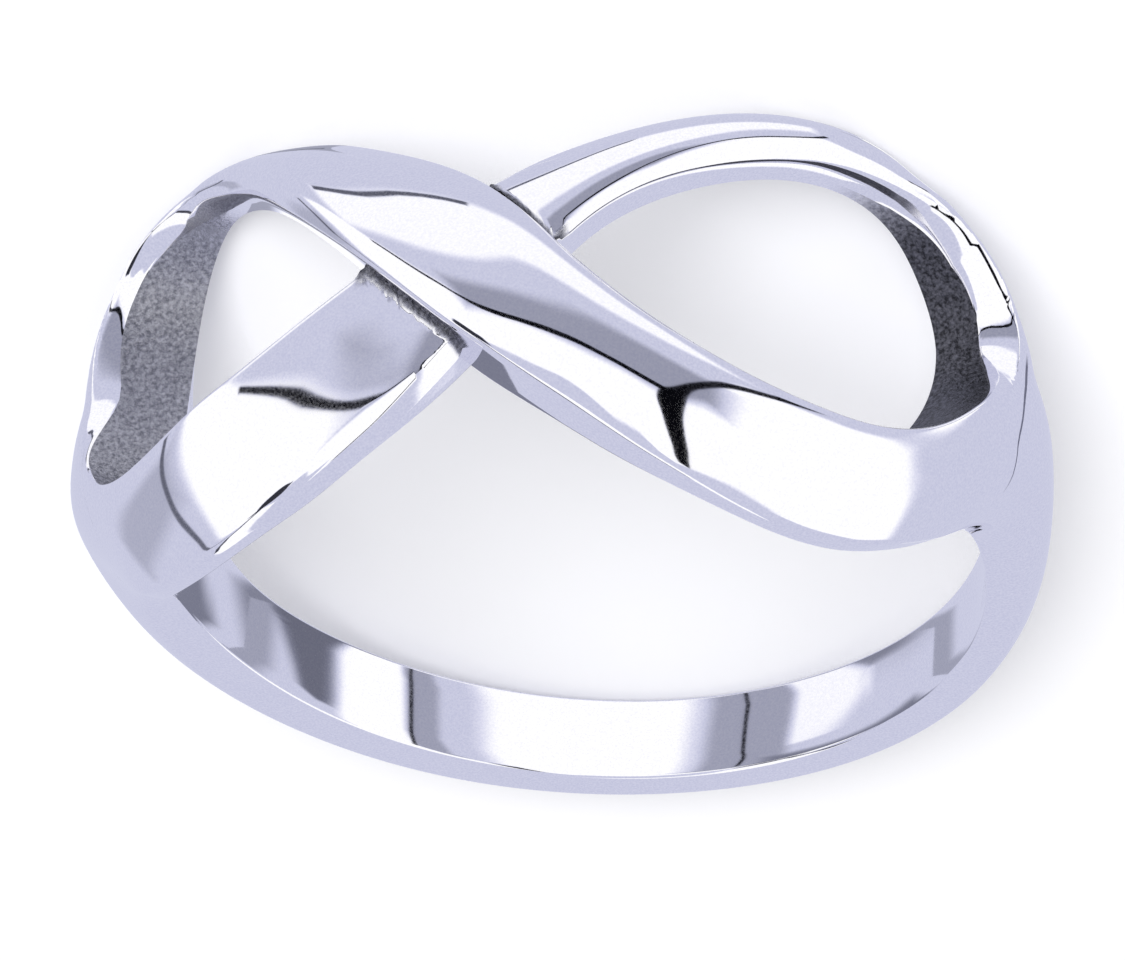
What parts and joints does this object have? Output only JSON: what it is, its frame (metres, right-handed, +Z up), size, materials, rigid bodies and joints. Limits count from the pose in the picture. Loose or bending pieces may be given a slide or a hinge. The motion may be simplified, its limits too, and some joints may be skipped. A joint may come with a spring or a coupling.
{
  "type": "infinity ring",
  "caption": "Polished silver finger ring whose crossing bands form an open figure-of-eight front on a plain narrow shank.",
  "frame": {"origin": "point where the axis of the finger hole meets the surface that the ring lies on", "axes": "+Z up from that surface, -Y towards the figure-of-eight front, +X along the front's length; the finger hole's axis leans 16.9 degrees from +Z towards +Y, as the ring lies at rest on its two loops and the back of its shank"},
  "size_m": [0.0211, 0.0197, 0.0101],
  "materials": {
    "silver": "mirror-polished sterling silver, with the narrow inner end walls of both loops left as cast"
  },
  "bodies": {
    "root": {"ring": "silver"}
  },
  "joints": []
}
